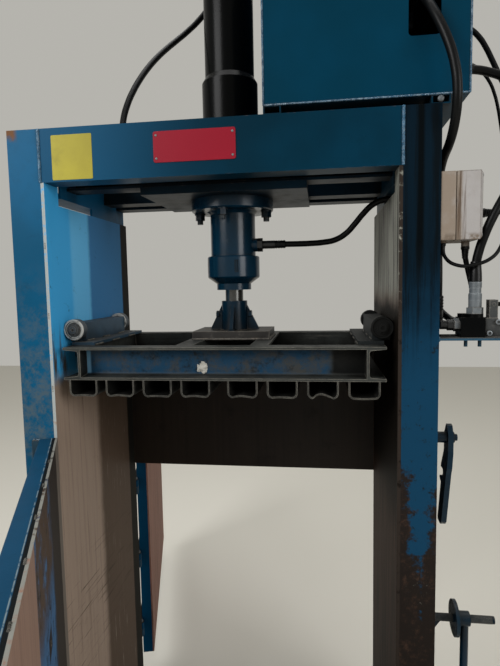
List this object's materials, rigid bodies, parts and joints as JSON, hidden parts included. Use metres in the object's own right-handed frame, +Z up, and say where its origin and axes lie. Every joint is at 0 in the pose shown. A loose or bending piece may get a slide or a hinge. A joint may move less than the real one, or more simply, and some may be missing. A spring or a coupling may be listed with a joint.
{
  "type": "recycling baler",
  "caption": "Vertical recycling baler: welded frame, hydraulic ram with a ribbed platen on side rollers, swinging front and rear doors, hand valve and a power unit on the head.",
  "frame": {"origin": "centre of the base on the floor", "axes": "+Z up, +X to the operator's right, -Y towards the operator at the front door"},
  "size_m": [1.4686, 2.4101, 2.44],
  "materials": {
    "blue_paint": "worn hammered gloss paint with dust and chips",
    "dark_blue_paint": "glossy machine paint with oil film",
    "black_paint": "satin black enamel",
    "liner_steel": "blue paint above, rubbed bare below",
    "worn_steel": "bare steel, dull with grime",
    "rusty_steel": "brown surface rust with streaks",
    "polished_rod": "hard chrome with an oil film",
    "zinc_steel": "zinc plated fittings",
    "black_rubber": "dusty hose cover",
    "box_plastic": "dirty off-white plastic",
    "grey_cast": "cast, with grime",
    "motor_grey": "satin grey paint"
  },
  "bodies": {
    "frame": {"front_posts": "blue_paint", "rear_posts": "blue_paint", "head_front_beam": "blue_paint", "head_inner_beams": "blue_paint", "head_rails": "blue_paint", "side_liners": "liner_steel", "rear_panel": "rusty_steel", "side_braces": "blue_paint", "base_sills": "blue_paint", "chamber_floor": "worn_steel", "cylinder_plate": "blue_paint", "cylinder_flange": "dark_blue_paint", "flange_bolts": "rusty_steel", "cylinder_barrel": "dark_blue_paint", "cylinder_gland": "dark_blue_paint", "cylinder_sleeve": "black_paint", "cylinder_cap": "black_paint", "housing_rails": "blue_paint", "power_housing": "blue_paint", "housing_lid": "blue_paint", "oil_tank": "motor_grey", "pump_set": "motor_grey", "box_base": "box_plastic", "box_lid": "box_plastic", "valve_shelf": "blue_paint", "valve_body": "black_paint", "valve_cover": "grey_cast", "hydraulic_fittings": "zinc_steel", "front_hinge_lugs": "blue_paint", "rear_hinge_lugs": "blue_paint", "hinge_pins": "worn_steel", "lock_mounts": "blue_paint", "hose_cap_side": "black_rubber", "hose_rod_side": "black_rubber", "hose_pressure": "black_rubber", "hose_return": "black_rubber", "cable_motor": "black_rubber", "cable_limit": "black_rubber", "cable_switch": "black_rubber"},
    "ram": {"piston_rod": "polished_rod", "rod_bracket": "dark_blue_paint", "platen_block": "rusty_steel", "platen_channels": "worn_steel", "platen_plate": "worn_steel", "platen_ribs": "worn_steel", "roller_bars": "blue_paint", "roller_axles": "worn_steel"},
    "front_door": {"front_door_pan": "blue_paint", "front_door_plate": "worn_steel"},
    "rear_door": {"rear_door_pan": "blue_paint", "rear_door_plate": "rusty_steel"},
    "latch": {"latch_lever": "blue_paint"},
    "lock": {"lock_nut": "blue_paint"},
    "valve_handle": {"valve_lever": "black_paint"},
    "roller_front_left_body": {"roller_front_left": "worn_steel"},
    "roller_front_right_body": {"roller_front_right": "worn_steel"},
    "roller_rear_left_body": {"roller_rear_left": "worn_steel"},
    "roller_rear_right_body": {"roller_rear_right": "worn_steel"}
  },
  "joints": [
    {"name": "ram_slide", "type": "slide", "parent": "frame", "child": "ram", "axis": [0, 0, 1], "range_m": [-0.75, 0]},
    {"name": "roller_front_left_spin", "type": "hinge", "parent": "ram", "child": "roller_front_left_body", "pos_m": [-0.3847, -0.189, 1.397], "axis": [0, 1, 0], "range_deg": [-1650, 1650]},
    {"name": "roller_front_right_spin", "type": "hinge", "parent": "ram", "child": "roller_front_right_body", "pos_m": [0.3847, -0.189, 1.397], "axis": [0, 1, 0], "range_deg": [-1650, 1650]},
    {"name": "roller_rear_left_spin", "type": "hinge", "parent": "ram", "child": "roller_rear_left_body", "pos_m": [-0.3847, 0.103, 1.397], "axis": [0, 1, 0], "range_deg": [-1650, 1650]},
    {"name": "roller_rear_right_spin", "type": "hinge", "parent": "ram", "child": "roller_rear_right_body", "pos_m": [0.3847, 0.103, 1.397], "axis": [0, 1, 0], "range_deg": [-1650, 1650]},
    {"name": "front_door_hinge", "type": "hinge", "parent": "frame", "child": "front_door", "pos_m": [-0.433, -0.305, 0.64], "axis": [0, 0, 1], "range_deg": [-100, 65]},
    {"name": "rear_door_hinge", "type": "hinge", "parent": "frame", "child": "rear_door", "pos_m": [-0.433, 0.305, 0.5], "axis": [0, 0, 1], "range_deg": [-105, 60]},
    {"name": "latch_pivot", "type": "hinge", "parent": "frame", "child": "latch", "pos_m": [0.54, -0.194, 1.135], "axis": [1, 0, 0], "range_deg": [-100, 20]},
    {"name": "lock_turn", "type": "hinge", "parent": "frame", "child": "lock", "pos_m": [0.57, -0.194, 0.684], "axis": [1, 0, 0], "continuous": true},
    {"name": "valve_handle_pivot", "type": "hinge", "parent": "frame", "child": "valve_handle", "pos_m": [0.621, -0.222, 1.45], "axis": [0, 1, 0], "range_deg": [-18, 18]}
  ],
  "couplings": [
    {"joint": "roller_front_left_spin", "follows": "ram_slide", "rad_per_m": -37.037},
    {"joint": "roller_front_right_spin", "follows": "ram_slide", "rad_per_m": 37.037},
    {"joint": "roller_rear_left_spin", "follows": "ram_slide", "rad_per_m": -37.037},
    {"joint": "roller_rear_right_spin", "follows": "ram_slide", "rad_per_m": 37.037}
  ]
}
